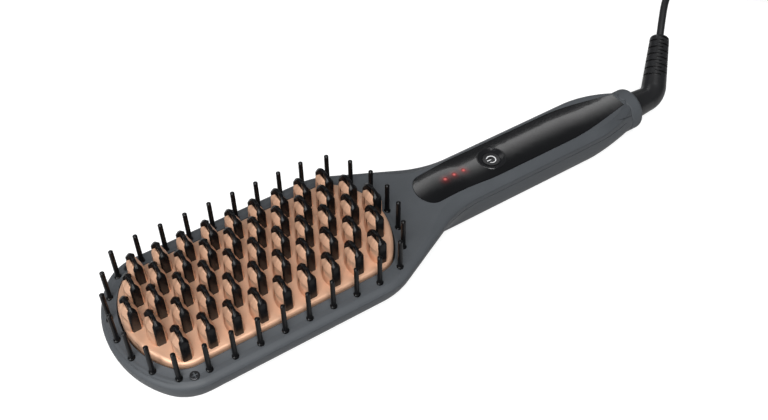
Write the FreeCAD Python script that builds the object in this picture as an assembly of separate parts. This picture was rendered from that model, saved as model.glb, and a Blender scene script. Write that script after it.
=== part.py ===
import FreeCAD, Part
import math
import os

V = FreeCAD.Vector

# Heated styling brush lying on its back, teeth up, head towards -X, millimetres.
# X counts from the middle of the head until each piece is saved.

# Heights above the surface that it lies on
rim_height = 21.0
seam_height = 18.9
edge_top = 23.8
hump_top = 23.0
grip_top = 22.2
tail_top = 21.4
axis_height = 12.0

# Common walls, fits and tool overrun
wall = 2.0
seat_gap = 0.02
fit_gap = 0.15
run_gap = 0.05
move_gap = 0.3
overrun = 8.0

# Plan of the body
head_half = 35.2
head_reach = 63.3
head_end_radius = 44.0
head_corner_radius = 19.4
shoulder_run = 26.0
shoulder_x = head_reach - shoulder_run
shoulder_radius = 28.0
neck_angle = 26.5
neck_radius = 47.0
handle_half = 13.6
taper_x = 164.0
tail_x = 191.0
tail_radius = 9.3
back_tail_share = 0.45
top_tail_share = 0.2

# Back of the head and underside of the handle
dome_depth = 20.2
dome_run = 20.0
dome_turn = 12.0
grip_power_share = 2.5
stern_run = 19.0
stern_power_share = 5.0
back_level_shares = (1.0, 0.74, 0.48, 0.26, 0.1, 0.0)

# Soft upper edges of the rim and of the handle
head_edge = 11.0
grip_edge = 5.0
edge_level_shares = (0.0, 0.22, 0.43, 0.71, 1.0)
head_edge_shares = (0.0, 0.055, 0.236, 0.545, 1.0)
grip_edge_shares = (0.0, 0.17, 0.39, 0.69, 1.0)
ramp_start = 62.0
hump_x = 95.0
dip_x = 110.0
fall_x = 150.0

# Guard pins round the rim
pin_side_margin = 4.9
pin_end_margin = 3.45
pin_half = head_half - pin_side_margin
pin_reach = head_reach - pin_end_margin
pin_end_radius = 39.9
pin_corner_radius = 14.7
pin_radius = 1.0
pin_tip_radius = 0.95
pin_height = 15.6
pin_foot_radius = 1.4
pin_foot_height = 0.4
pin_end_angle = 15.0
pin_corner_angle = 57.0
pin_side_count = 8
carrier_thickness = 1.7
carrier_inset = 3.4
carrier_outset = 2.3

# Heating plate
plate_inset = 3.9
plate_slot = 0.8
plate_base = 19.0
plate_crown = 5.8
crown_radius = 100.0
plate_edge_radius = 1.5
pocket_ceiling = 22.4
pocket_side = 6.4
pocket_end = 6.95
plate_half = pin_half - plate_inset
plate_reach = pin_reach - plate_inset
pocket_half = plate_half - pocket_side
pocket_reach = plate_reach - pocket_end
pocket_corner = 6.0

# Teeth: copper fins with a black core between them
row_counts = (9, 10, 11, 10, 9)
tooth_end = 3.45
row_side = 6.4
tooth_pitch = 2 * (plate_reach - tooth_end) / (max(row_counts) - 1)
row_pitch = 2 * (plate_half - row_side) / (len(row_counts) - 1)
tooth_height = 13.4
tooth_length = 9.2
arch_radius = 4.8
shoulder_drop = 1.5
core_width = 1.4
block_width = 3.5
block_depth = 1.5
block_round = 0.6
flare_length = 0.8
fin_length = 7.9
fin_foot_half = 2.6
fin_foot_edge = 2.3
fin_top_half = 1.35
fin_top_edge = 1.2
fin_drop = 0.8

# Heater stack under the plate
clamp_end_gap = 1.0
heater_margin = 12.0
clamp_length = 2 * (pocket_reach - clamp_end_gap)
heater_length = clamp_length - heater_margin
heater_thickness = 3.5
mica_margin = 1.5
mica_thickness = 0.5
clamp_width = 12.0
clamp_thickness = 1.0
clamp_screw_inset = 2.5
clamp_screw_radius = 1.2
clamp_head_radius = 2.2
clamp_head_height = 1.3
sensor_length = 5.0
sensor_radius = 1.3
sensor_x = -20.0
fuse_length = 11.0
fuse_radius = 2.0
fuse_x = 15.0
sensor_side = 7.0
sensor_y = pocket_half - sensor_side
heater_gap = 2.0
heater_width = 2 * (sensor_y - fuse_radius - heater_gap)
carrier_frame_height = 3.0
carrier_frame_width = 5.2
shield_height = 12.6
shield_thickness = 0.6
shield_side = 4.0
shield_end = 5.0
shield_half = pocket_half - shield_side
shield_reach = pocket_reach - shield_end
shield_corner = 8.0
post_radius = 3.0
post_end = 17.95
post_side = 5.4
post_x = plate_reach - post_end
post_y = plate_half - post_side
shield_post_end = 8.0
shield_post_side = 6.0
shield_post_x = shield_reach - shield_post_end
shield_post_y = shield_half - shield_post_side

# Screws
rim_screw_end = 20.8
rim_screw_side = 5.3
rim_screw_x = rim_screw_end - head_reach
rim_screw_y = head_half - rim_screw_side
screw_head_radius = 1.9
screw_head_height = 0.9
screw_radius = 1.1
screw_length = 9.0
drive_half = 1.25
drive_width = 0.5
drive_depth = 0.5
rim_boss_radius = 1.8
screw_boss_radius = 2.6
handle_screw_xs = (72.0, 160.0)
handle_screw_head = 2.2
handle_screw_seat = 9.7
handle_screw_length = 8.0
handle_boss_radius = 4.2
handle_boss_top = 11.7

# Handle panel, lights and button
panel_front = 75.0
panel_front_half = 8.6
panel_half = 9.6
panel_front_radius = 11.0
panel_corner_radius = 5.5
panel_floor = 20.9
panel_rise = 0.66
panel_lip_share = 0.15
panel_stations = 14
panel_full_x = 115.0
panel_taper_x = 150.0
panel_waist_x = 173.6
panel_waist_half = 6.8
panel_tip_x = 187.2
panel_tip_half = 4.0
cavity_ceiling = 19.9
cavity_start = 66.0
cavity_end = 184.0
cavity_half = 8.6
cavity_round = 4.0
button_x = 113.9
button_travel = 0.6
bezel_radius = 6.55
bezel_bore = 4.0
bezel_dish = 0.9
bezel_edge = 0.35
button_radius = 3.75
button_dish = 0.35
button_sink = 0.75
button_flange = 5.0
button_flange_thickness = 0.8
symbol_radius = 2.0
symbol_line = 0.45
symbol_gap_angle = 40.0
symbol_bar = 2.1
symbol_depth = 0.3
light_xs = (89.3, 94.0, 98.9)
light_radius = 1.0
light_bar_length = 16.0
light_bar_width = 4.0
light_bar_thickness = 1.5

# Control board
board_top = 14.5
board_thickness = 1.6
board_start = 82.0
board_end = 150.0
board_half = 8.5
board_corner = 1.5
board_post_inset = 4.0
board_post_radius = 2.0
switch_width = 6.2
switch_height = 3.2
plunger_radius = 1.7
plunger_depth = 1.6
led_length = 2.0
led_width = 1.2
led_height = 0.8
relay_x = 138.0
relay_length = 15.0
relay_width = 10.0
relay_height = 3.4
capacitor_x = 124.0
capacitor_radius = 2.6
capacitor_length = 11.0
terminal_inset = 1.0
terminal_length = 4.0
terminal_width = 9.0
terminal_height = 3.4

# Swivel at the handle's end
collar_radius = 9.75
collar_length = 5.5
collar_lap = 3.5
collar_edge = 1.6
bush_radius = 6.2
bush_start = 183.0
spindle_radius = 5.1
spindle_flange_radius = 6.9
spindle_flange_length = 2.2
spindle_bore = 2.3
contact_core_radius = 3.0
contact_core_length = 11.0
ring_radius = 4.0
ring_width = 2.0
ring_offsets = (3.0, 7.0)
spring_width = 1.6
spring_thickness = 0.4
spring_length = 11.0
block_length = 9.0
block_half = 5.0
block_base = 5.2
flange_start = bush_start - move_gap - spindle_flange_length
core_start = flange_start - contact_core_length
ring_xs = [core_start + offset for offset in ring_offsets]
leaf_low = axis_height - ring_radius - move_gap - spring_thickness

# Elbow strain relief
elbow_x = 211.5
elbow_radius = 6.6
elbow_bend = 9.5
elbow_turn = 53.0
elbow_lean = 50.7
relief_foot_radius = 5.8
relief_tip_radius = 4.6
relief_length = 30.4
relief_crown = 1.6
round_shares = ((0.0, 1.0), (0.13, 0.5), (0.5, 0.13), (1.0, 0.0))
slot_count = 12
slot_start = 9.0
slot_pitch = 1.77
slot_height = 0.8
slot_depth = 1.3
slot_span = 211.0
slot_turn = 20.5
elbow_tangent = elbow_bend * math.tan(math.radians(elbow_turn) / 2)

# Groove along the handle's sides
groove_start = 72.0
groove_end = 184.0
groove_height = 16.3
groove_width = 0.4
groove_depth = 0.4

# Slits at both sides of the handle's end
slit_places = ((174.0, 10.0), (182.0, 9.7), (190.0, 8.1))
slit_top = 22.0
slit_low = 16.4
slit_width = 0.45
slit_reach = 3.0

# Cord, coil, tie and plug
cord_radius = 1.75
cord_first_run = 10.0
cord_last_run = 9.0
coil_x = 352.0
coil_y = 2.0
coil_start = 25.3
coil_step = 4.0
coil_layer = 4.0
coil_turns = (2.75, 3.25, 3.25, 2.75)
tie_width = 6.0
tie_thickness = 0.6
tie_round = 1.2
tie_floor = 0.1
plug_x = 395.0
plug_half_width = 17.6
plug_thickness = 13.7
plug_length = 36.0
plug_boot_length = 16.0
plug_boot_tip = 3.0
plug_boot_foot = 4.6
plug_waist = 4.0
plug_nose_share = 0.45
plug_pin_radius = 2.0
plug_pin_length = 19.0
plug_pin_spacing = 18.6
plug_pin_seat = 6.0
plug_pin_seat_radius = 1.6

# Leads inside
lead_radius = 0.8
lead_spacing = 6.0
heater_lead_inset = 1.5
heater_lead_y = heater_width / 2 - heater_lead_inset
heater_lead_run = 5.0
heater_lead_drop = 7.0
neck_lead_x = 60.0
neck_lead_y = 5.0
supply_lead_y = 7.3
supply_lead_run = 8.5
supply_lead_rise = 1.5

# Free cord between its first and its last straight run
cord_route = (
    (243.5, 31.8, 37.2), (253.5, 36.8, 39.4), (265.5, 39.4, 38.4), (278.0, 40.0, 34.6),
    (290.5, 39.0, 29.0), (302.5, 36.8, 22.2), (314.0, 33.8, 14.6), (325.0, 30.2, 7.2),
)

coil_floor = tie_floor + tie_thickness + move_gap + cord_radius
AXIS_X = V(1, 0, 0)
AXIS_Y = V(0, 1, 0)
AXIS_Z = V(0, 0, 1)


def sleeve_profile():
    """Points (radius, height above the bend) of the sleeve's outside."""
    tip = relief_length - elbow_tangent
    points = [(0, 0), (relief_foot_radius, 0)]
    points += [(relief_tip_radius - relief_crown * a, tip - relief_crown * b) for a, b in round_shares]
    return points + [(0, tip)]


def middle_x():
    """Middle of the brush's length without its cord."""
    turn = math.radians(elbow_turn)
    far = max((elbow_tangent + up) * math.cos(turn) + r * math.sin(turn) for r, up in sleeve_profile())
    return (elbow_x + far - head_reach) / 2


place = V(-middle_x(), 0, 0)
print("middle", round(place.x, 4))


def save(name, solids):
    shape = solids[0] if len(solids) == 1 else Part.makeCompound(solids)
    shape = shape.copy()
    shape.translate(place)
    shape.exportStep("parts/%s.step" % name)
    print(name, len(shape.Solids), round(shape.Volume, 2), shape.isValid())


def line(a, b):
    return Part.LineSegment(a, b).toShape()


def arc(centre, a, b):
    """The shorter arc from a to b round centre."""
    middle = (a - centre) + (b - centre)
    middle.multiply((a - centre).Length / middle.Length)
    return Part.Arc(a, centre + middle, b).toShape()


def mirrored(edges):
    """The edges turned over the X axis, in the order that closes the outline."""
    return [e.mirror(V(0, 0, 0), AXIS_Y) for e in reversed(edges)]


def prism(wire, height):
    return Part.Face(wire).extrude(V(0, 0, height))


def box(x0, x1, y0, y1, z0, z1):
    return Part.makeBox(x1 - x0, y1 - y0, z1 - z0, V(x0, y0, z0))


def post(x, y, z0, z1, radius):
    return Part.makeCylinder(radius, z1 - z0, V(x, y, z0), AXIS_Z)


def rod(x0, x1, radius):
    """A cylinder on the swivel's axis."""
    return Part.makeCylinder(radius, x1 - x0, V(x0, 0, axis_height), AXIS_X)


def turned(points):
    """A closed profile of (x, radius) points turned about the swivel's axis."""
    wire = Part.makePolygon([V(x, 0, axis_height + r) for x, r in points + points[:1]])
    return Part.Face(wire).revolve(V(0, 0, axis_height), AXIS_X, 360)


def spun(x, points):
    """A closed profile of (radius, z) points turned about an upright axis at x."""
    wire = Part.makePolygon([V(x + r, 0, z) for r, z in points + points[:1]])
    return Part.Face(wire).revolve(V(x, 0, 0), AXIS_Z, 360)


def rounded_end(z, half, reach, end_r, corner_r):
    """Upper half of a blunt round end, from the tip on the axis to its straight side."""
    end_c = V(end_r - reach, 0, z)
    back = math.sqrt((end_r - corner_r) ** 2 - (half - corner_r) ** 2)
    corner_c = V(end_c.x - back, half - corner_r, z)
    outwards = (corner_c - end_c).normalize()
    tip = V(-reach, 0, z)
    meet = end_c + outwards * end_r
    side = V(corner_c.x, half, z)
    return [arc(end_c, tip, meet), arc(corner_c, meet, side)], side


def pill(z, grow):
    """The guard pins' line, drawn outwards by grow."""
    half = pin_half + grow
    edges, side = rounded_end(z, half, pin_reach + grow, pin_end_radius + grow, pin_corner_radius + grow)
    far = [e.mirror(V(0, 0, 0), AXIS_X) for e in reversed(edges)]
    upper = edges + [line(side, V(-side.x, half, z))] + far
    return Part.Wire(upper + mirrored(upper))


def slab(x_half, y_half, corner, z0, z1):
    """A flat plate with rounded corners about the head's middle."""
    return upright_rounded(box(-x_half, x_half, -y_half, y_half, z0, z1), corner)


def upright_rounded(block, corner):
    """A block with its four upright edges rounded."""
    return block.makeFillet(corner, [e for e in block.Edges if abs(e.tangentAt(0).z) == 1])


def tail_half(z, grip, least_share):
    """Half width of the handle's end at height z: round about the swivel's axis."""
    return max(math.sqrt(max(tail_radius ** 2 - (z - axis_height) ** 2, 0)), grip * least_share)


def outline(z, half, reach, end_r, corner_r, turn_x, turn_r, neck_r, grip, tail, end_half):
    """Plan of head, neck and handle at height z."""
    turn = math.radians(neck_angle)
    rise = 1 - math.cos(turn)
    edges, side = rounded_end(z, half, reach, end_r, corner_r)
    s1 = V(turn_x, half, z)
    s2 = V(turn_x + turn_r * math.sin(turn), half - turn_r * rise, z)
    n1_y = grip + neck_r * rise
    n1 = V(s2.x + (s2.y - n1_y) / math.tan(turn), n1_y, z)
    n2 = V(n1.x + neck_r * math.sin(turn), grip, z)
    h1 = V(taper_x, grip, z)
    end = V(tail, end_half, z)
    taper_r = ((tail - taper_x) ** 2 + (grip - end_half) ** 2) / (2 * (grip - end_half))
    upper = edges + [
        line(side, s1), arc(V(turn_x, half - turn_r, z), s1, s2), line(s2, n1),
        arc(V(n2.x, grip + neck_r, z), n1, n2), line(n2, h1),
        arc(V(taper_x, grip - taper_r, z), h1, end),
    ]
    return Part.Wire(upper + [line(end, V(tail, -end.y, z))] + mirrored(upper))


def back_form(inset):
    """The body below the seam, drawn in by inset on all sides."""
    wires = []
    for share in back_level_shares:
        depth = seam_height * (1 - share)
        head_share = math.sqrt(1 - (depth / dome_depth) ** 2)
        grip_share = (1 - (depth / dome_depth) ** grip_power_share) ** (1 / grip_power_share)
        gone = 1 - head_share
        grip = handle_half * grip_share
        wires.append(outline(
            inset + (seam_height - inset) * share,
            head_half * head_share - inset, head_reach - dome_run * gone - inset,
            head_end_radius * head_share - inset, head_corner_radius * head_share - inset,
            shoulder_x - dome_turn * gone, shoulder_radius * head_share - inset,
            neck_radius + inset, grip - inset,
            tail_x - stern_run * (1 - share) ** stern_power_share - inset,
            tail_half(seam_height * share, grip, back_tail_share) - inset,
        ))
    return Part.makeLoft(wires, True, False)


def front_form():
    """The body above the seam, with its ramp from the rim up to the handle."""
    wires = []
    for level, head_share, grip_share in zip(edge_level_shares, head_edge_shares, grip_edge_shares):
        z = seam_height + (edge_top - seam_height) * level
        into_head = head_edge * head_share
        into_grip = grip_edge * grip_share
        wires.append(outline(
            z, head_half - into_head, head_reach - into_head,
            head_end_radius - into_head, head_corner_radius - into_head, shoulder_x,
            shoulder_radius - into_head, neck_radius + into_grip, handle_half - into_grip, tail_x,
            tail_half(z, handle_half - into_grip, top_tail_share),
        ))
    return Part.makeLoft(wires, True, False).cut(above_top())


def ease(x, start, end, low, high):
    """A smooth step from low at start to high at end."""
    run_share = min(max((x - start) / (end - start), 0), 1)
    return low + (high - low) * (1 - math.cos(math.pi * run_share)) / 2


def top_at(x):
    """Height of the upper side above the floor, on the middle line."""
    if x <= hump_x:
        return ease(x, ramp_start, hump_x, rim_height, hump_top)
    if x <= fall_x:
        return ease(x, hump_x, dip_x, hump_top, grip_top)
    run_share = (x - fall_x) / (tail_x - fall_x)
    return grip_top - (grip_top - tail_top) * run_share ** 2


def smooth(points, first_way, last_way):
    """A smooth curve through the points that starts and ends in the given directions."""
    spline = Part.BSplineCurve()
    spline.interpolate(Points=points, InitialTangent=first_way, FinalTangent=last_way)
    return spline.toShape()


def above_top():
    """All that lies above the upper side."""
    span_shares = (0.0, 0.25, 0.5, 0.75, 1.0)
    last_way = V(1, 0, -2 * (grip_top - tail_top) / (tail_x - fall_x))
    spans = []
    for a, b, way in ((ramp_start, hump_x, AXIS_X), (hump_x, dip_x, AXIS_X), (fall_x, tail_x, last_way)):
        xs = [a + (b - a) * share for share in span_shares]
        spans.append(smooth([V(x, 0, top_at(x)) for x in xs], AXIS_X, way))
    start = V(-head_reach - overrun, 0, rim_height)
    finish = V(tail_x + overrun, 0, tail_top)
    ceiling = edge_top + overrun
    edges = [
        line(start, V(ramp_start, 0, rim_height)), spans[0], spans[1],
        line(V(dip_x, 0, grip_top), V(fall_x, 0, grip_top)), spans[2],
        line(V(tail_x, 0, tail_top), finish), line(finish, V(finish.x, 0, ceiling)),
        line(V(finish.x, 0, ceiling), V(start.x, 0, ceiling)), line(V(start.x, 0, ceiling), start),
    ]
    tool = Part.Face(Part.Wire(edges)).extrude(V(0, 2 * (head_half + overrun), 0))
    tool.translate(V(0, -head_half - overrun, 0))
    return tool


def panel_outline(grow, z):
    """Plan of the panel: a blunt round front, a fuller middle and a slim end at the collar."""
    edges, side = rounded_end(0, panel_front_half + grow, grow, panel_front_radius + grow,
                              panel_corner_radius + grow)
    for e in edges:
        e.translate(V(panel_front, 0, z))
    side = side + V(panel_front, 0, z)
    full = V(panel_full_x, panel_half + grow, z)
    bend = V(panel_taper_x, full.y, z)
    waist = V(panel_waist_x, panel_waist_half + grow, z)
    tip = V(panel_tip_x + grow, panel_tip_half + grow, z)
    upper = edges + [smooth([side, full], AXIS_X, AXIS_X), line(full, bend),
                     smooth([bend, waist, tip], AXIS_X, (tip - waist).normalize())]
    return Part.Wire(upper + [line(tip, V(tip.x, -tip.y, z))] + mirrored(upper))


def side_slits():
    """Thin slits at both sides of the handle's end."""
    start = slit_places[0][0]
    end = slit_places[-1][0]
    inner = [V(x, y, slit_top + (slit_low - slit_top) * (x - start) / (end - start)) for x, y in slit_places]
    outer = [p + AXIS_Y * slit_reach for p in reversed(inner)]
    blade = Part.Face(Part.makePolygon(inner + outer + inner[:1])).extrude(V(0, 0, slit_width))
    return [blade, blade.mirror(V(0, 0, 0), AXIS_Y)]


def pin_places():
    places = []
    first = -(pin_side_count - 1) / 2
    end_x = pin_reach - pin_end_radius
    corner_y = pin_half - pin_corner_radius
    corner_x = end_x + math.sqrt((pin_end_radius - pin_corner_radius) ** 2 - corner_y ** 2)
    for side in (-1, 1):
        places += [((first + i) * tooth_pitch, side * pin_half) for i in range(pin_side_count)]
        places.append((side * pin_reach, 0))
        for way in (-1, 1):
            for step in (1, 2):
                a = math.radians(pin_end_angle * step)
                x = end_x + pin_end_radius * math.cos(a)
                places.append((side * x, way * pin_end_radius * math.sin(a)))
            a = math.radians(pin_corner_angle)
            places.append((side * (corner_x + pin_corner_radius * math.cos(a)),
                           way * (corner_y + pin_corner_radius * math.sin(a))))
    return places


def rear_shell():
    outer = back_form(0)
    shell = outer.cut(back_form(wall))
    carrier_base = plate_base - carrier_frame_height
    for x in (-post_x, post_x):
        for y in (-post_y, post_y):
            shell = shell.fuse(post(x, y, 0, carrier_base, post_radius).common(outer))
    for x in (-shield_post_x, shield_post_x):
        for y in (-shield_post_y, shield_post_y):
            shell = shell.fuse(post(x, y, 0, shield_height, board_post_radius).common(outer))
    for x in (board_start + board_post_inset, board_end - board_post_inset):
        for y in (-board_half + board_post_inset, board_half - board_post_inset):
            shell = shell.fuse(post(x, y, 0, board_top - board_thickness, board_post_radius).common(outer))
    screw_low = rim_height - screw_length - move_gap
    for y in (-rim_screw_y, rim_screw_y):
        shell = shell.fuse(post(rim_screw_x, y, 0, seam_height, rim_boss_radius).common(outer))
        shell = shell.cut(post(rim_screw_x, y, screw_low, rim_height, screw_radius + seat_gap))
    for x in handle_screw_xs:
        shell = shell.fuse(post(x, 0, 0, handle_boss_top, handle_boss_radius).common(outer))
        shell = shell.cut(post(x, 0, -overrun, handle_screw_seat, handle_screw_head + move_gap))
        shell = shell.cut(post(x, 0, 0, seam_height, screw_radius + fit_gap))
    block = box(core_start, core_start + block_length, -block_half, block_half, 0, block_base)
    shell = shell.fuse(block.common(outer))
    shell = shell.cut(rod(bush_start, tail_x + overrun, bush_radius + seat_gap))
    shell = shell.cut(rod(flange_start - move_gap, bush_start, spindle_flange_radius + move_gap))
    band = box(groove_start, groove_end, -head_half, head_half, groove_height, groove_height + groove_width)
    shell = shell.cut(band.cut(back_form(groove_depth)))
    for slit in side_slits():
        shell = shell.cut(slit)
    save("rear_shell", [shell.removeSplitter()])


def front_frame():
    frame = front_form().cut(prism(pill(seam_height - overrun, plate_slot - plate_inset), edge_top))
    cavity = box(cavity_start, cavity_end, -cavity_half, cavity_half, seam_height - overrun, cavity_ceiling)
    frame = frame.cut(upright_rounded(cavity, cavity_round))
    frame = frame.cut(prism(panel_outline(fit_gap, panel_floor), overrun))
    for x in handle_screw_xs:
        boss = post(x, 0, handle_boss_top + move_gap, cavity_ceiling, screw_boss_radius)
        frame = frame.fuse(boss)
        screw_top = handle_screw_seat + handle_screw_length + move_gap
        frame = frame.cut(post(x, 0, 0, screw_top, screw_radius + seat_gap))
    frame = frame.cut(post(button_x, 0, 0, edge_top, bezel_bore))
    for x in light_xs:
        frame = frame.cut(post(x, 0, 0, edge_top, light_radius + fit_gap))
    for x, y in pin_places():
        frame = frame.cut(post(x, y, 0, edge_top, pin_foot_radius + fit_gap))
    head_low = rim_height - screw_head_height
    for y in (-rim_screw_y, rim_screw_y):
        frame = frame.cut(post(rim_screw_x, y, 0, edge_top, screw_radius + fit_gap))
        frame = frame.cut(post(rim_screw_x, y, head_low, edge_top, screw_head_radius + fit_gap))
    for slit in side_slits():
        frame = frame.cut(slit)
    save("front_frame", [frame.removeSplitter()])


def crest_at(x):
    """Height of the panel's middle line, which stands highest along the grip."""
    front_share = ease(x, panel_front, hump_x, panel_lip_share, 1)
    tail_share = ease(x, panel_taper_x, panel_tip_x, 1, panel_lip_share)
    return top_at(x) + panel_rise * front_share * tail_share


def panel_form():
    """The panel before its outline is cut, with a low crown across."""
    side = panel_half + overrun
    low = panel_floor - overrun
    start = panel_front - overrun
    wires = []
    for i in range(panel_stations + 1):
        x = start + i * (tail_x - start) / panel_stations
        crest = crest_at(x)
        edge = crest - panel_rise * (side / panel_half) ** 2
        left = V(x, -side, edge)
        right = V(x, side, edge)
        wires.append(Part.Wire([
            Part.Arc(left, V(x, 0, crest), right).toShape(), line(right, V(x, side, low)),
            line(V(x, side, low), V(x, -side, low)), line(V(x, -side, low), left),
        ]))
    return Part.makeLoft(wires, True, False)


def handle_panel():
    panel = prism(panel_outline(0, panel_floor), overrun).common(panel_form())
    panel = panel.cut(post(button_x, 0, 0, edge_top + overrun, bezel_radius + run_gap))
    for x in light_xs:
        panel = panel.cut(post(x, 0, 0, edge_top + overrun, light_radius + run_gap))
    save("handle_panel", [panel])


def button_pieces():
    crest = crest_at(button_x)
    bezel = spun(button_x, [
        (bezel_bore, panel_floor), (bezel_radius, panel_floor), (bezel_radius, crest - bezel_edge / 2),
        (bezel_radius - bezel_edge / 2, crest), (bezel_radius - bezel_edge, crest),
        ((bezel_radius + bezel_bore) / 2, crest - bezel_dish / 2), (bezel_bore, crest - bezel_dish),
    ])
    save("button_bezel", [bezel])
    top = crest - button_sink
    shelf = cavity_ceiling - move_gap
    low = shelf - button_flange_thickness
    cap = spun(button_x, [(0, low), (button_flange, low), (button_flange, shelf), (button_radius, shelf),
                          (button_radius, top), (0, top - button_dish)])
    inlay = top - symbol_depth - button_dish
    inside = symbol_radius - symbol_line / 2
    outside = symbol_radius + symbol_line / 2
    ring = spun(button_x, [(inside, inlay), (outside, inlay), (outside, top), (inside, top)])
    mouth_half = symbol_radius * math.sin(math.radians(symbol_gap_angle))
    mouth = box(button_x - outside, button_x, -mouth_half, mouth_half, inlay, top)
    bar = box(button_x - symbol_bar, button_x, -symbol_line / 2, symbol_line / 2, inlay, top)
    bowl = spun(button_x, [(0, top - button_dish), (button_radius, top), (button_radius, low), (0, low)])
    symbol = [ring.cut(mouth).common(bowl), bar.common(bowl)]
    save("button_cap", [cap.cut(symbol[0]).cut(symbol[1])])
    save("power_symbol", symbol)
    plunger_low = board_top + switch_height - plunger_depth
    save("switch_plunger", [post(button_x, 0, plunger_low, low, plunger_radius)])


def lights():
    middle = sum(light_xs) / len(light_xs)
    bar = box(middle - light_bar_length / 2, middle + light_bar_length / 2,
              -light_bar_width / 2, light_bar_width / 2, cavity_ceiling - light_bar_thickness, cavity_ceiling)
    leds = []
    for x in light_xs:
        bar = bar.fuse(post(x, 0, cavity_ceiling, crest_at(x) - run_gap, light_radius))
        leds.append(box(x - led_length / 2, x + led_length / 2, -led_width / 2, led_width / 2,
                        board_top, board_top + led_height))
    save("light_guide", [bar.removeSplitter()])
    save("status_leds", leds)


def control_board():
    board = box(board_start, board_end, -board_half, board_half, board_top - board_thickness, board_top)
    save("control_board", [upright_rounded(board, board_corner)])
    body = box(button_x - switch_width / 2, button_x + switch_width / 2, -switch_width / 2, switch_width / 2,
               board_top, board_top + switch_height)
    well = board_top + switch_height - plunger_depth - button_travel - move_gap
    save("tact_switch", [body.cut(post(button_x, 0, well, seam_height, plunger_radius + run_gap))])
    relay = box(relay_x - relay_length / 2, relay_x + relay_length / 2, -relay_width / 2, relay_width / 2,
                board_top, board_top + relay_height)
    can = Part.makeCylinder(capacitor_radius, capacitor_length,
                            V(capacitor_x, -capacitor_length / 2, board_top + capacitor_radius), AXIS_Y)
    terminals = []
    for x in (board_start + terminal_inset, board_end - terminal_inset - terminal_length):
        terminals.append(box(x, x + terminal_length, -terminal_width / 2, terminal_width / 2,
                             board_top, board_top + terminal_height))
    save("board_components", [relay, can] + terminals)


def crown(clearance):
    """The round bar whose top is the plate's crown."""
    centre = rim_height + plate_crown - crown_radius
    return Part.makeCylinder(crown_radius + clearance, 2 * head_reach, V(-head_reach, 0, centre), AXIS_X)


def heating_plate():
    plate = prism(pill(plate_base, -plate_inset), plate_crown + overrun).common(crown(0))
    edge = [e for e in plate.Edges if e.BoundBox.ZMin > plate_base + seat_gap]
    plate = plate.makeFillet(plate_edge_radius, edge)
    plate = plate.cut(slab(pocket_reach, pocket_half, pocket_corner, 0, pocket_ceiling))
    save("heating_plate", [plate])


def tooth_arch(less, shoulder):
    """A tooth seen from its side: round along the ridge, drawn in by less, with falling shoulders."""
    radius = arch_radius - less
    middle = tooth_height - arch_radius
    ridge = core_width / 2
    wide = block_width
    fall = shoulder * (wide - ridge) / (block_width / 2 - ridge)
    points = [V(-wide, 0, middle), V(-wide, 0, middle + radius - fall), V(-ridge, 0, middle + radius),
              V(ridge, 0, middle + radius), V(wide, 0, middle + radius - fall), V(wide, 0, middle)]
    wheel = Part.Face(Part.makePolygon(points + points[:1])).revolve(V(0, 0, middle), AXIS_X, 360)
    return wheel.fuse(box(-wide, wide, -radius, radius, -overrun, middle))


def core_plan(grow):
    """Plan of a tooth's core: a thin web that flares to a block at both ends."""
    web = core_width / 2 + grow
    wide = block_width / 2 + grow
    y_end = tooth_length / 2 + grow
    y_block = tooth_length / 2 - block_depth
    y_web = y_block - flare_length
    y_side = y_end - block_round
    quarter = [V(web, y_web, -overrun), V(wide, y_block, -overrun), V(wide, y_side, -overrun)]
    over = [V(-p.x, p.y, p.z) for p in reversed(quarter)]
    edges = []
    for way in (1, -1):
        near = [V(p.x * way, p.y * way, p.z) for p in quarter]
        far = [V(p.x * way, p.y * way, p.z) for p in over]
        edges += [line(near[0], near[1]), line(near[1], near[2]),
                  Part.Arc(near[2], V(0, y_end * way, -overrun), far[0]).toShape(),
                  line(far[0], far[1]), line(far[1], far[2]), line(far[2], V(far[2].x, -far[2].y, -overrun))]
    return Part.Wire(edges)


def lens(half, edge, length, z):
    """Plan of a fin pair: two bowed sides with narrow flat ends."""
    y = length / 2
    a, b, c, d = V(-edge, -y, z), V(edge, -y, z), V(edge, y, z), V(-edge, y, z)
    right = Part.Arc(b, V(half, 0, z), c).toShape()
    left = Part.Arc(d, V(-half, 0, z), a).toShape()
    return Part.Wire([line(a, b), right, line(c, d), left])


def teeth():
    core = prism(core_plan(0), tooth_height + 2 * overrun).common(tooth_arch(0, shoulder_drop))
    relief = prism(core_plan(seat_gap), tooth_height + 2 * overrun)
    fins = Part.makeLoft([lens(fin_foot_half, fin_foot_edge, fin_length, -overrun / 2),
                          lens(fin_top_half, fin_top_edge, fin_length, tooth_height)], True, True)
    fins = fins.common(tooth_arch(fin_drop, 0)).cut(relief)
    bed = crown(seat_gap)
    all_fins = []
    all_cores = []
    middle = (len(row_counts) - 1) / 2
    for row, count in enumerate(row_counts):
        y = (middle - row) * row_pitch
        lift = crown_radius - math.sqrt(crown_radius ** 2 - y ** 2)
        spot = V(0, y, rim_height + plate_crown - lift)
        row_fins = [s.copy() for s in fins.Solids]
        row_core = core.copy()
        for shape in row_fins + [row_core]:
            shape.translate(spot)
        row_fins = [s.cut(bed) for s in row_fins]
        row_core = row_core.cut(bed)
        for i in range(count):
            step = V((i - (count - 1) / 2) * tooth_pitch, 0, 0)
            all_cores += [s.translated(step) for s in row_core.Solids]
            for half in row_fins:
                all_fins += [s.translated(step) for s in half.Solids]
    save("heating_fins", all_fins)
    save("cool_tips", all_cores)


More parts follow.
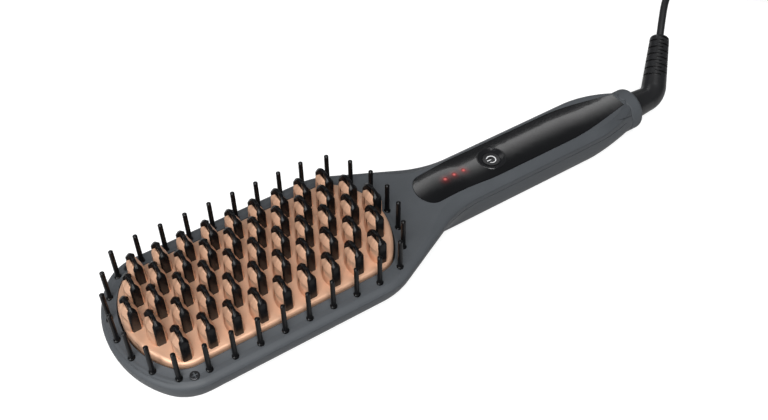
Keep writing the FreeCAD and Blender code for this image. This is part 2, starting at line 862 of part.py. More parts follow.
def guard_pins():
    carrier = prism(pill(seam_height - carrier_thickness, carrier_outset), carrier_thickness)
    carrier = carrier.cut(prism(pill(seam_height - carrier_thickness, -carrier_inset), carrier_thickness))
    notch = rim_boss_radius + move_gap
    for y in (-rim_screw_y, rim_screw_y):
        carrier = carrier.cut(post(rim_screw_x, y, 0, rim_height, notch))
        low, high = sorted((y, y + math.copysign(overrun, y)))
        carrier = carrier.cut(box(rim_screw_x - notch, rim_screw_x + notch, low, high, 0, rim_height))
    save("pin_carrier", [carrier.common(back_form(wall + move_gap))])
    foot_top = rim_height + pin_foot_height
    tip = rim_height + pin_height
    pin = spun(0, [(0, seam_height), (pin_foot_radius, seam_height), (pin_foot_radius, foot_top),
                   (pin_radius, foot_top + pin_foot_height), (pin_tip_radius, tip - pin_tip_radius / 2),
                   (pin_tip_radius / 2, tip), (0, tip)])
    save("guard_pins", [pin.translated(V(x, y, 0)) for x, y in pin_places()])


def heater_stack():
    base = plate_base - carrier_frame_height
    frame = prism(pill(base, -plate_inset), carrier_frame_height)
    frame = frame.cut(prism(pill(base, -plate_inset - carrier_frame_width), carrier_frame_height))
    save("insulator_frame", [frame])
    top = pocket_ceiling
    x = heater_length / 2
    y = heater_width / 2
    save("ptc_heater", [box(-x, x, -y, y, top - heater_thickness, top)])
    top -= heater_thickness
    save("mica_sheet", [slab(x + mica_margin, y + mica_margin, mica_margin, top - mica_thickness, top)])
    top -= mica_thickness
    x = clamp_length / 2
    strap = box(-x, x, -clamp_width / 2, clamp_width / 2, top - clamp_thickness, top)
    screw_x = x - clamp_screw_inset
    screws = []
    for x in (-screw_x, screw_x):
        strap = strap.cut(post(x, 0, 0, rim_height, clamp_screw_radius + fit_gap))
        shank = post(x, 0, top - clamp_thickness, pocket_ceiling, clamp_screw_radius)
        head = post(x, 0, top - clamp_thickness - clamp_head_height, top - clamp_thickness, clamp_head_radius)
        screws.append(shank.fuse(head).removeSplitter())
    save("heater_clamp", [strap])
    save("clamp_screws", screws)
    sensor_at = V(sensor_x, sensor_y, pocket_ceiling - sensor_radius)
    save("thermistor", [Part.makeCylinder(sensor_radius, sensor_length, sensor_at, AXIS_X)])
    fuse_at = V(fuse_x, -sensor_y, pocket_ceiling - fuse_radius)
    save("thermal_fuse", [Part.makeCylinder(fuse_radius, fuse_length, fuse_at, AXIS_X)])
    shield_top = shield_height + shield_thickness
    save("heat_shield", [slab(shield_reach, shield_half, shield_corner, shield_height, shield_top)])


def screws():
    rim = []
    for y in (-rim_screw_y, rim_screw_y):
        shank = post(rim_screw_x, y, rim_height - screw_length, rim_height - screw_head_height, screw_radius)
        head = post(rim_screw_x, y, rim_height - screw_head_height, rim_height, screw_head_radius)
        for x_half, y_half in ((drive_half, drive_width / 2), (drive_width / 2, drive_half)):
            head = head.cut(box(rim_screw_x - x_half, rim_screw_x + x_half, y - y_half, y + y_half,
                                rim_height - drive_depth, rim_height))
        rim.append(shank.fuse(head).removeSplitter())
    save("rim_screws", rim)
    handle = []
    for x in handle_screw_xs:
        shank = post(x, 0, handle_screw_seat, handle_screw_seat + handle_screw_length, screw_radius)
        head = post(x, 0, handle_screw_seat - handle_screw_head, handle_screw_seat, handle_screw_head)
        handle.append(shank.fuse(head).removeSplitter())
    save("handle_screws", handle)


def swivel():
    far = tail_x + collar_length
    near = tail_x - collar_lap
    bore = bush_radius + seat_gap
    near_round = [(near + collar_edge * a, collar_radius - collar_edge * b) for a, b in round_shares]
    far_round = [(far - collar_edge * a, collar_radius - collar_edge * b) for a, b in reversed(round_shares)]
    collar = turned([(near, bore)] + near_round + far_round + [(far, bore)])
    save("collar", [collar.cut(back_form(0)).cut(front_form())])
    bush = rod(bush_start, far, bush_radius).cut(rod(bush_start, far, spindle_radius + run_gap))
    save("swivel_bush", [bush])
    flange_end = bush_start - move_gap
    end = far + move_gap
    save("swivel_rotor", [turned([
        (core_start, spindle_bore), (core_start, contact_core_radius), (flange_start, contact_core_radius),
        (flange_start, spindle_flange_radius), (flange_end, spindle_flange_radius),
        (flange_end, spindle_radius), (end, spindle_radius), (end, spindle_bore),
    ])])
    rings = []
    springs = []
    for x in ring_xs:
        hole = rod(x, x + ring_width, contact_core_radius + seat_gap)
        rings.append(rod(x, x + ring_width, ring_radius).cut(hole))
        middle = x + ring_width / 2
        springs.append(box(middle - spring_width / 2, middle + spring_width / 2, -spring_length / 2,
                           spring_length / 2, leaf_low, leaf_low + spring_thickness))
    save("slip_rings", rings)
    save("contact_springs", springs)
    block = box(core_start, core_start + block_length, -block_half, block_half, block_base, leaf_low)
    save("contact_block", [block])


def strain_relief():
    start = V(tail_x + collar_length + move_gap, 0, axis_height)
    knee = V(elbow_x - elbow_tangent, 0, axis_height)
    stem = Part.makeCone(elbow_radius, relief_foot_radius, knee.x - start.x, start, AXIS_X)
    disc = Part.Face(Part.Wire(Part.makeCircle(relief_foot_radius, knee, AXIS_X)))
    bend = disc.revolve(knee + AXIS_Z * elbow_bend, AXIS_Y * -1, elbow_turn)
    sleeve = spun(0, sleeve_profile())
    thinning_share = (relief_foot_radius - relief_tip_radius) / (relief_length - elbow_tangent)
    for i in range(slot_count):
        low = slot_start + i * slot_pitch - elbow_tangent
        core = relief_foot_radius - thinning_share * low - slot_depth
        slot = Part.makeCylinder(elbow_radius, slot_height, V(0, 0, low), AXIS_Z, slot_span)
        slot = slot.cut(post(0, 0, low, low + slot_height, core))
        slot.rotate(V(0, 0, 0), AXIS_Z, 180 * ((i + 1) % 2) - slot_span / 2 - slot_turn)
        sleeve = sleeve.cut(slot)
    turn = math.radians(elbow_turn)
    sleeve.rotate(V(0, 0, 0), AXIS_Y, 90 - elbow_turn)
    sleeve.translate(V(elbow_x, 0, axis_height) + V(math.cos(turn), 0, math.sin(turn)) * elbow_tangent)
    relief = stem.fuse(bend).fuse(sleeve).removeSplitter()
    relief.rotate(V(0, 0, axis_height), AXIS_X, -elbow_lean)
    save("strain_relief", [relief])


def run_path(points, name):
    """Straight runs joined by tangent arcs, each as large as its two runs allow."""
    edges = []
    radii = []
    here = points[0]
    for before, corner, after in zip(points, points[1:], points[2:]):
        u = (corner - before).normalize()
        w = (after - corner).normalize()
        half_turn = u.getAngle(w) / 2
        trim_share = 0.45
        trim = trim_share * min((corner - before).Length, (after - corner).Length)
        radii.append(trim / math.tan(half_turn))
        a = corner - u * trim
        b = corner + w * trim
        inward = (w - u).normalize()
        centre = corner + inward * (trim / math.sin(half_turn))
        edges += [line(here, a), arc(centre, a, b)]
        here = b
    edges.append(line(here, points[-1]))
    print(name, "radii", [round(r, 1) for r in radii])
    return Part.Wire(edges)


def tube(path, radius, name):
    start = path.OrderedVertexes[0].Point
    first = path.OrderedEdges[0]
    way = first.tangentAt(first.FirstParameter)
    if (first.valueAt(first.FirstParameter) - start).Length > run_gap:
        way = first.tangentAt(first.LastParameter) * -1
    solid = path.makePipeShell([Part.Wire(Part.makeCircle(radius, start, way))], True, False)
    volume_share = solid.Volume / (math.pi * radius ** 2 * path.Length)
    print(name, "length", round(path.Length, 1), "volume share", round(volume_share, 4))
    return solid


def biarc(p0, t0, p1, t1):
    """Two arcs from p0 to p1 that keep the directions t0 and t1 and meet smoothly."""
    v = p1 - p0
    t = t0 + t1
    a = 2 * (1 - t0.dot(t1))
    b = v.dot(t)
    reach = (-b + math.sqrt(b * b + a * v.dot(v))) / a
    joint = (p0 + p1 + (t0 - t1) * reach) / 2
    edges = []
    for start, way, end in ((p0, t0, joint), (p1, t1 * -1, joint)):
        chord = end - start
        normal = (chord - way * chord.dot(way)).normalize()
        centre = start + normal * (chord.dot(chord) / (2 * chord.dot(normal)))
        edges.append(arc(centre, start, end) if way is t0 else arc(centre, end, start))
    return edges


def coil_point(turns):
    """The coil after so many turns: it winds in and out, and climbs a layer where it reverses."""
    radius = coil_start
    height = coil_floor
    left = turns
    way = -1
    for count in coil_turns:
        done = min(left, count)
        radius += way * coil_step * done
        way = -way
        left -= done
    reversal = 0
    for count in coil_turns[:-1]:
        reversal += count
        climbed_share = min(max(2 * (turns - reversal) + 1 / 2, 0), 1)
        height += coil_layer * (1 - math.cos(math.pi * climbed_share)) / 2
    angle = math.pi / 2 - 2 * math.pi * turns
    return V(coil_x + radius * math.cos(angle), coil_y + radius * math.sin(angle), height)


def coil_stations():
    """Points and directions of the coil at each quarter turn, clockwise from its entry."""
    near_share = 0.001
    quarters = [i / 4 for i in range(int(4 * sum(coil_turns)) + 1)]
    points = [coil_point(t) for t in quarters]
    ways = [(coil_point(t + near_share) - coil_point(t - near_share)).normalize() for t in quarters[1:-1]]
    return points, [AXIS_X] + ways + [AXIS_X]


def self_gap(path, radius):
    """Least clear distance between turns that lie apart along the path."""
    spacing = radius
    points = path.discretize(Distance=spacing)
    apart = int(math.ceil(math.pi * radius * 4 / spacing))
    least = min((p - q).Length for i, p in enumerate(points) for q in points[i + apart:])
    return least - 2 * radius


def cord():
    turn = math.radians(elbow_turn)
    lean = math.radians(elbow_lean)
    out = V(math.cos(turn), math.sin(turn) * math.sin(lean), math.sin(turn) * math.cos(lean))
    tip = V(elbow_x, 0, axis_height) + out * (relief_length + move_gap)
    stations, ways = coil_stations()
    lead_in = stations[0] - AXIS_X * (2 * cord_radius)
    points = [tip, tip + out * cord_first_run] + [V(*p) for p in cord_route]
    points += [lead_in - AXIS_X * cord_last_run, lead_in]
    free = run_path(points, "power_cord")
    save("power_cord", [tube(free, cord_radius, "power_cord")])
    edges = [line(lead_in, stations[0])]
    for i in range(len(stations) - 1):
        edges += biarc(stations[i], ways[i], stations[i + 1], ways[i + 1])
    lead_out = stations[-1] + ways[-1] * (2 * cord_radius)
    edges.append(line(stations[-1], lead_out))
    coil = Part.Wire(edges)
    print("cord_coil gap", round(self_gap(coil, cord_radius), 2))
    save("cord_coil", [tube(coil, cord_radius, "cord_coil")])
    axis = V(plug_x, lead_out.y, plug_thickness / 2)
    runs_shares = (0.32, 0.68)
    drop = axis - lead_out
    knots = [lead_out, V(lead_out.x + drop.x * runs_shares[0], lead_out.y, lead_out.z),
             V(lead_out.x + drop.x * runs_shares[1], lead_out.y, axis.z), axis]
    tail = run_path(knots, "plug_cord")
    save("plug_cord", [tube(tail, cord_radius, "plug_cord")])
    print("cord length", round(free.Length + coil.Length + tail.Length, 1))
    coil_tie(stations)
    plug(axis)


def coil_tie(stations):
    """A flat strap round the bundle of turns on the side away from the entry."""
    middle = V(coil_x, coil_y, 0)
    spread = [math.hypot(p.x - middle.x, p.y - middle.y) for p in stations]
    room = cord_radius + move_gap
    bow = tie_width ** 2 / (8 * min(spread))
    near = middle.y - min(spread) + room + bow
    far = middle.y - max(spread) - room
    top = stations[-1].z + room
    low = coil_floor - room
    rounds = []
    for thick, half in ((tie_thickness, tie_width / 2), (0, tie_width)):
        block = box(middle.x - half, middle.x + half, far - thick, near + thick, low - thick, top + thick)
        along = [e for e in block.Edges if abs(e.tangentAt(0).x) == 1]
        rounds.append(block.makeFillet(tie_round + thick, along))
    save("cord_tie", [rounds[0].cut(rounds[1])])


def plug(axis):
    body_x = axis.x + plug_boot_length
    nose = body_x + plug_length
    half = plug_half_width
    neck = plug_half_width - plug_waist
    turn_x = body_x + plug_length * plug_nose_share
    side = [(body_x, plug_boot_foot), (turn_x, half), (nose, neck)]
    corners = [V(x, axis.y + y, 0) for x, y in side] + [V(x, axis.y - y, 0) for x, y in reversed(side)]
    body = prism(Part.makePolygon(corners + corners[:1]), plug_thickness)
    rims = [e for e in body.Edges if abs(e.tangentAt(e.FirstParameter).z) < 1 / 2]
    body = body.makeFillet(plug_waist / 2, rims)
    boot = Part.makeCone(plug_boot_tip, plug_boot_foot, plug_boot_length + plug_waist, axis, AXIS_X)
    body = body.fuse(boot)
    pins = []
    for way in (-1, 1):
        foot = V(nose, axis.y + way * plug_pin_spacing / 2, axis.z)
        base = foot - AXIS_X * plug_pin_seat
        seat = Part.makeCylinder(plug_pin_seat_radius + seat_gap, plug_pin_seat + overrun, base, AXIS_X)
        body = body.cut(seat)
        pin = Part.makeCylinder(plug_pin_radius, plug_pin_length, foot, AXIS_X)
        pin = pin.makeFillet(plug_pin_radius / 2, [e for e in pin.Edges if e.BoundBox.XMin > nose + seat_gap])
        pins.append(pin.fuse(Part.makeCylinder(plug_pin_seat_radius, plug_pin_seat, base, AXIS_X)))
    save("plug_body", [body.removeSplitter()])
    save("plug_pins", pins)


def leads():
    """Pairs of wires: board to heater through the neck, and contact springs to board."""
    heater = []
    supply = []
    terminal_z = board_top + terminal_height / 2
    end_y = lead_spacing / 2
    for way, ring_x in zip((-1, 1), ring_xs):
        start = V(heater_length / 2, way * heater_lead_y, pocket_ceiling - heater_thickness / 2)
        turn = start + AXIS_X * heater_lead_run
        under = turn + V(lead_radius, 0, -heater_lead_drop)
        neck = V(neck_lead_x, way * neck_lead_y, under.z)
        end = V(board_start + terminal_inset, way * end_y, terminal_z)
        path = run_path([start, turn, under, neck, end], "heater_lead")
        heater.append(tube(path, lead_radius, "heater_lead"))
        start = V(ring_x + ring_width / 2, way * spring_length / 2, leaf_low + spring_thickness / 2)
        turn = V(start.x, way * supply_lead_y, start.z)
        along = turn + V(-supply_lead_run, 0, supply_lead_rise)
        end = V(board_end - terminal_inset, way * end_y, terminal_z)
        level = end + AXIS_X * heater_lead_run
        path = run_path([start, turn, along, level, end], "supply_lead")
        supply.append(tube(path, lead_radius, "supply_lead"))
    save("heater_leads", heater)
    save("supply_leads", supply)


os.makedirs("parts", exist_ok=True)
rear_shell()
front_frame()
handle_panel()
button_pieces()
lights()
control_board()
heating_plate()
teeth()
guard_pins()
heater_stack()
screws()
swivel()
strain_relief()
leads()
cord()
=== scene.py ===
import math

import bmesh
import bpy
from mathutils import Matrix, Vector


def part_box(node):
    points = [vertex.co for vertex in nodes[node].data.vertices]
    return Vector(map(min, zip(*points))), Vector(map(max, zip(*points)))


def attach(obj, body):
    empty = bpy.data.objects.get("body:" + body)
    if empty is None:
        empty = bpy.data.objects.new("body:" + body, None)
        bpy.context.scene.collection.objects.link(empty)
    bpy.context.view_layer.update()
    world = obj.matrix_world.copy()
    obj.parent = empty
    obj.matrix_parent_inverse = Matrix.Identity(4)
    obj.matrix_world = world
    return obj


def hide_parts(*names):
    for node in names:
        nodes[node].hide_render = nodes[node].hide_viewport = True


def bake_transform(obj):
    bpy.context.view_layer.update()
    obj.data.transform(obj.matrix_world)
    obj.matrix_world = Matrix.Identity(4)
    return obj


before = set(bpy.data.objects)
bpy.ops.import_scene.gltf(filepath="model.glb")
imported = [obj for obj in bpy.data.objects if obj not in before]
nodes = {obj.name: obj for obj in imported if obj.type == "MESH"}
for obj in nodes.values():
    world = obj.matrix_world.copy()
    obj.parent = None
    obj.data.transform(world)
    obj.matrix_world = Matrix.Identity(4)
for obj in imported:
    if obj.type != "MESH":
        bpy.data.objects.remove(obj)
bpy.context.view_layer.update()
scene = bpy.context.scene
scene.view_settings.view_transform = "Standard"
print("brush loaded,", len(nodes), "pieces")


def middleOf(name):
    low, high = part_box(name)
    return (low + high) / 2


def standing(place, right, up, back):
    return Matrix.Translation(place) @ Matrix((right, up, back)).transposed().to_4x4()


# camera at the photograph's angle
cameraSet = {
    "place": (-0.17796, -0.23365, 0.32635),
    "right": (0.8390084, -0.5441185, 0.0),
    "ahead": (0.3675138, 0.5666913, -0.7374243),
    "lens": 46.64,
    "sensor": 36.0,
    "nearest": 0.01,
}


def makeCamera(s):
    data = bpy.data.cameras.new("viewCamera")
    data.sensor_fit = "HORIZONTAL"
    data.sensor_width = s["sensor"]
    data.lens = s["lens"]
    data.clip_start = s["nearest"]
    camera = bpy.data.objects.new("viewCamera", data)
    right, ahead = Vector(s["right"]), Vector(s["ahead"])
    camera.matrix_world = standing(s["place"], right, right.cross(ahead), -ahead)
    scene.collection.objects.link(camera)
    scene.camera = camera


makeCamera(cameraSet)


# a node's socket takes another node's output or a plain value
def feed(tree, socket, value):
    if isinstance(value, bpy.types.NodeSocket):
        tree.links.new(value, socket)
    else:
        socket.default_value = value


def addMath(tree, operation, a, b=0.0):
    node = tree.nodes.new("ShaderNodeMath")
    node.operation = operation
    feed(tree, node.inputs[0], a)
    feed(tree, node.inputs[1], b)
    return node.outputs[0]


def addDistance(tree, place, spot):
    node = tree.nodes.new("ShaderNodeVectorMath")
    node.operation = "DISTANCE"
    feed(tree, node.inputs[0], place)
    feed(tree, node.inputs[1], spot)
    return node.outputs["Value"]


def addTint(tree, color, strength):
    node = tree.nodes.new("ShaderNodeVectorMath")
    node.operation = "SCALE"
    feed(tree, node.inputs[0], color)
    feed(tree, node.inputs["Scale"], strength)
    return node.outputs[0]


def addBump(tree, height, strength, depth):
    node = tree.nodes.new("ShaderNodeBump")
    feed(tree, node.inputs["Height"], height)
    feed(tree, node.inputs["Strength"], strength)
    feed(tree, node.inputs["Distance"], depth)
    return node


# soft studio light
lightSet = {
    "skyColor": (0.9, 0.95, 1.0),
    "skyStrength": 0.12,
    "fadePower": 1.5,
    "softboxes": [  # name, place, looks at, long side runs along, length, width, watts, fades across
        ("keyBox", (-0.34, -0.52, 0.97), (0.0, 0.0, 0.02), (1, 0, 0), 0.6, 0.6, 13.2, False),
        ("sheenBox", (0.33, 0.667, 0.904), (0.04, 0.0, 0.02), (0.937, -0.2, -0.29), 1.28, 0.3, 3.4, True),
        ("sideBox", (-0.9, -0.25, 0.55), (-0.05, 0.0, 0.02), (0, 1, 0), 0.5, 0.4, 5.4, False),
    ],
}


def fadeAcross(data, power):
    data.use_nodes = True
    tree = data.node_tree
    spot = tree.nodes.new("ShaderNodeNewGeometry")
    split = tree.nodes.new("ShaderNodeSeparateXYZ")
    tree.links.new(spot.outputs["Parametric"], split.inputs[0])
    fade = addMath(tree, "POWER", split.outputs["Y"], power)
    tree.links.new(fade, tree.nodes["Emission"].inputs["Strength"])


def makeSky(s):
    world = bpy.data.worlds.new("studio")
    world.use_nodes = True
    sky = world.node_tree.nodes["Background"]
    sky.inputs["Color"].default_value = (*s["skyColor"], 1)
    sky.inputs["Strength"].default_value = s["skyStrength"]
    scene.world = world


def makeLights(s):
    for name, place, aim, along, length, width, watts, fades in s["softboxes"]:
        data = bpy.data.lights.new(name, "AREA")
        data.shape = "RECTANGLE"
        data.size, data.size_y = length, width
        data.energy = watts
        if fades:
            fadeAcross(data, s["fadePower"])
        lamp = bpy.data.objects.new(name, data)
        back = (Vector(place) - Vector(aim)).normalized()
        up = back.cross(Vector(along)).normalized()
        lamp.matrix_world = standing(place, up.cross(back), up, back)
        scene.collection.objects.link(lamp)


makeSky(lightSet)
makeLights(lightSet)


# steps that the modelled pieces share
def meshFrom(bm, name):
    mesh = bpy.data.meshes.new(name)
    bm.to_mesh(mesh)
    bm.free()
    return mesh


def shadeSmooth(mesh, sharpAngle=None):
    mesh.polygons.foreach_set("use_smooth", [True] * len(mesh.polygons))
    if sharpAngle is not None:
        mesh.set_sharp_from_angle(angle=math.radians(sharpAngle))


def addObject(name, mesh, material):
    mesh.materials.append(material)
    piece = bpy.data.objects.new(name, mesh)
    scene.collection.objects.link(piece)
    return piece


def addCopy(bm, shape):
    known = len(bm.verts)
    bm.from_mesh(shape)
    bm.verts.ensure_lookup_table()
    return bm.verts[known:]


def only(kind, geom):
    return [g for g in geom if isinstance(g, kind)]


def roundEdges(bm, edges, size, steps, clamp=False):
    bmesh.ops.bevel(bm, geom=edges, offset=size, segments=steps, profile=0.5, affect="EDGES", material=-1,
                    clamp_overlap=clamp)


# pale floor, white to the camera, with the brush's own soft shadow
floorSet = {
    "half": 6.0,
    "height": -0.0002,
    "color": (0.36, 0.36, 0.36),
    "rough": 0.9,
    "lift": 0.82,  # glow that the camera sees
    "mirrored": 0.28,  # share of the glow that shows in gloss
}


def makePaleFloor(s):
    material = bpy.data.materials.new("paleFloor")
    material.use_nodes = True
    tree = material.node_tree
    base = tree.nodes["Principled BSDF"]
    base.inputs["Base Color"].default_value = (*s["color"], 1)
    base.inputs["Roughness"].default_value = s["rough"]
    base.inputs["Specular IOR Level"].default_value = 0.0
    path = tree.nodes.new("ShaderNodeLightPath")
    mirrored = addMath(tree, "MULTIPLY", path.outputs["Is Glossy Ray"], s["mirrored"])
    seen = addMath(tree, "MAXIMUM", path.outputs["Is Camera Ray"], mirrored)
    seen = addMath(tree, "MAXIMUM", seen, path.outputs["Is Transmission Ray"])
    base.inputs["Emission Color"].default_value = (1, 1, 1, 1)
    tree.links.new(addMath(tree, "MULTIPLY", seen, s["lift"]), base.inputs["Emission Strength"])
    return material


def makeFloor(s):
    bm = bmesh.new()
    bmesh.ops.create_grid(bm, x_segments=1, y_segments=1, size=s["half"])
    bmesh.ops.translate(bm, verts=bm.verts, vec=(0, 0, s["height"]))
    floor = addObject("floor", meshFrom(bm, "floor"), makePaleFloor(s))


makeFloor(floorSet)
print("camera, lights and floor set")

# moulded surface: fine grain for the bump, slow cloudiness for the colour, both for the gloss
finishSet = {
    "color": (0.1, 0.1, 0.1),
    "cloud": 0.25,  # strength of the cloudiness
    "cloudScale": 60.0,
    "cloudDetail": 4.0,
    "grain": 2500.0,  # scale of the grain
    "grainDetail": 3.0,
    "noiseMiddle": 0.5,
    "rough": 0.4,
    "spread": 0.15,  # of the roughness
    "bump": 0.1,
    "depth": 0.0002,
    "edgeSamples": 4,
    "sockets": {},
}


def startGroup(name, inputs, outputs):
    group = bpy.data.node_groups.new(name, "ShaderNodeTree")
    for label, kind, value in inputs:
        group.interface.new_socket(name=label, in_out="INPUT", socket_type=kind).default_value = value
    for label, kind in outputs:
        group.interface.new_socket(name=label, in_out="OUTPUT", socket_type=kind)
    return group, group.nodes.new("NodeGroupInput"), group.nodes.new("NodeGroupOutput")


def addNoise(tree, place, scale, detail):
    noise = tree.nodes.new("ShaderNodeTexNoise")
    feed(tree, noise.inputs["Vector"], place)
    feed(tree, noise.inputs["Scale"], scale)
    feed(tree, noise.inputs["Detail"], detail)
    return noise.outputs["Fac"]


def makeMouldedGrain(s):
    group, into, out = startGroup("mouldedGrain", [
        ("Base", "NodeSocketColor", (*s["color"], 1)),
        ("Cloud", "NodeSocketFloat", s["cloud"]),
        ("Rough", "NodeSocketFloat", s["rough"]),
        ("Rough Spread", "NodeSocketFloat", s["spread"]),
        ("Grain Scale", "NodeSocketFloat", s["grain"]),
        ("Cloud Scale", "NodeSocketFloat", s["cloudScale"]),
    ], [("Color", "NodeSocketColor"), ("Roughness", "NodeSocketFloat"), ("Height", "NodeSocketFloat")])
    place = group.nodes.new("ShaderNodeTexCoord").outputs["Object"]
    fine = addNoise(group, place, into.outputs["Grain Scale"], s["grainDetail"])
    slow = addNoise(group, place, into.outputs["Cloud Scale"], s["cloudDetail"])
    cloud = addMath(group, "SUBTRACT", slow, s["noiseMiddle"])
    shade = addMath(group, "ADD", addMath(group, "MULTIPLY", cloud, into.outputs["Cloud"]), 1.0)
    group.links.new(addTint(group, into.outputs["Base"], shade), out.inputs["Color"])
    mixed = addMath(group, "SUBTRACT", addMath(group, "ADD", fine, slow), 2 * s["noiseMiddle"])
    spread = addMath(group, "MULTIPLY", mixed, into.outputs["Rough Spread"])
    group.links.new(addMath(group, "ADD", spread, into.outputs["Rough"]), out.inputs["Roughness"])
    group.links.new(fine, out.inputs["Height"])
    return group


mouldedGrain = makeMouldedGrain(finishSet)


def grainMaterial(name, color, rough, changes=None):
    s = {**finishSet, **(changes or {})}
    material = bpy.data.materials.new(name)
    material.use_nodes = True
    tree = material.node_tree
    base = tree.nodes["Principled BSDF"]
    grain = tree.nodes.new("ShaderNodeGroup")
    grain.node_tree = mouldedGrain
    grain.inputs["Base"].default_value = (*color, 1)
    grain.inputs["Rough"].default_value = rough
    grain.inputs["Cloud"].default_value = s["cloud"]
    grain.inputs["Rough Spread"].default_value = s["spread"]
    grain.inputs["Grain Scale"].default_value = s["grain"]
    grain.inputs["Cloud Scale"].default_value = s["cloudScale"]
    bump = addBump(tree, grain.outputs["Height"], s["bump"], s["depth"])
    if "edge" in s:  # corners catch the light as moulded ones do
        soft = tree.nodes.new("ShaderNodeBevel")
        soft.samples = s["edgeSamples"]
        soft.inputs["Radius"].default_value = s["edge"]
        tree.links.new(soft.outputs["Normal"], bump.inputs["Normal"])
    tree.links.new(grain.outputs["Color"], base.inputs["Base Color"])
    tree.links.new(grain.outputs["Roughness"], base.inputs["Roughness"])
    tree.links.new(bump.outputs["Normal"], base.inputs["Normal"])
    for label, value in s["sockets"].items():
        base.inputs[label].default_value = value
    return material


def dress(material, *names):
    for name in names:
        slots = nodes[name].data.materials
        slots.clear()
        slots.append(material)


# outer finishes
bodyGrey = grainMaterial("bodyGrey", (0.072, 0.078, 0.085), 0.46, {
    "bump": 0.06, "grain": 4200.0, "edge": 0.0004,
    "sockets": {"Specular IOR Level": 0.2},
})
copperCoat = grainMaterial("copperCoat", (0.69, 0.415, 0.275), 0.47, {
    "bump": 0.05, "grain": 5200.0, "edge": 0.0003,
    "sockets": {"Metallic": 0.45},
})
pinBlack = grainMaterial("pinBlack", (0.0035, 0.0035, 0.004), 0.34, {
    "bump": 0.05, "edge": 0.00035,
    "sockets": {"Specular IOR Level": 0.06, "Coat Weight": 0.26, "Coat Roughness": 0.14},
})
panelGloss = grainMaterial("panelGloss", (0.0025, 0.0025, 0.003), 0.16, {
    "bump": 0.01, "spread": 0.04,
    "sockets": {"Coat Weight": 0.4, "Coat Roughness": 0.05},
})
bezelGloss = grainMaterial("bezelGloss", (0.008, 0.008, 0.009), 0.2, {"bump": 0.01, "spread": 0.06})
buttonBlack = grainMaterial("buttonBlack", (0.009, 0.009, 0.01), 0.3, {"bump": 0.02})
symbolWhite = grainMaterial("symbolWhite", (0.75, 0.75, 0.76), 0.35)
screwBlack = grainMaterial("screwBlack", (0.06, 0.06, 0.064), 0.34, {"sockets": {"Metallic": 0.9}})
reliefRubber = grainMaterial("reliefRubber", (0.012, 0.012, 0.013), 0.36, {"bump": 0.08})
cordRubber = grainMaterial("cordRubber", (0.01, 0.01, 0.011), 0.42)
dress(bodyGrey, "front_frame", "rear_shell", "collar")
dress(copperCoat, "heating_plate", "heating_fins")
dress(pinBlack, "cool_tips", "guard_pins")
dress(panelGloss, "handle_panel")
dress(bezelGloss, "button_bezel")
dress(buttonBlack, "button_cap")
dress(symbolWhite, "power_symbol")
dress(screwBlack, "rim_screws", "handle_screws", "clamp_screws")
dress(reliefRubber, "strain_relief")

# turned rings in the dish round the button
ringSet = {"pitch": 0.0006, "bump": 0.2, "depth": 0.00006}


def addRings(material, middle, s):
    tree = material.node_tree
    place = tree.nodes.new("ShaderNodeTexCoord")
    flat = tree.nodes.new("ShaderNodeVectorMath")
    flat.operation = "MULTIPLY"
    flat.inputs[1].default_value = (1, 1, 0)
    tree.links.new(place.outputs["Object"], flat.inputs[0])
    away = addDistance(tree, flat.outputs[0], (middle.x, middle.y, 0))
    wave = addMath(tree, "SINE", addMath(tree, "MULTIPLY", away, 2 * math.pi / s["pitch"]))
    rings = addBump(tree, wave, s["bump"], s["depth"])
    tree.links.new(rings.outputs["Normal"], tree.nodes["Bump"].inputs["Normal"])


addRings(bezelGloss, middleOf("button_cap"), ringSet)

# red light that spills on the panel, and the windows that it comes from, brightest in the middle
spillSet = {
    "lights": [0.00454, 0.00924, 0.01414],  # along the handle
    "height": 0.0235,
    "reach": 0.0018,
    "color": (0.13, 0.006, 0.006),
}
windowSet = {**spillSet, "reach": 0.0006, "color": (0.6, 0.11, 0.1)}


def addSpill(material, s):
    tree = material.node_tree
    place = tree.nodes.new("ShaderNodeTexCoord").outputs["Object"]
    total = 0.0
    for x in s["lights"]:
        near = addMath(tree, "DIVIDE", addDistance(tree, place, (x, 0.0, s["height"])), s["reach"])
        fall = addMath(tree, "MULTIPLY", addMath(tree, "MULTIPLY", near, near), -1.0)
        total = addMath(tree, "ADD", addMath(tree, "POWER", math.e, fall), total)
    base = tree.nodes["Principled BSDF"]
    tree.links.new(addTint(tree, s["color"], total), base.inputs["Emission Color"])
    base.inputs["Emission Strength"].default_value = 1.0


lightRed = grainMaterial("lightRed", (0.12, 0.008, 0.008), 0.25)
addSpill(panelGloss, spillSet)
addSpill(lightRed, windowSet)
dress(lightRed, "light_guide", "status_leds")

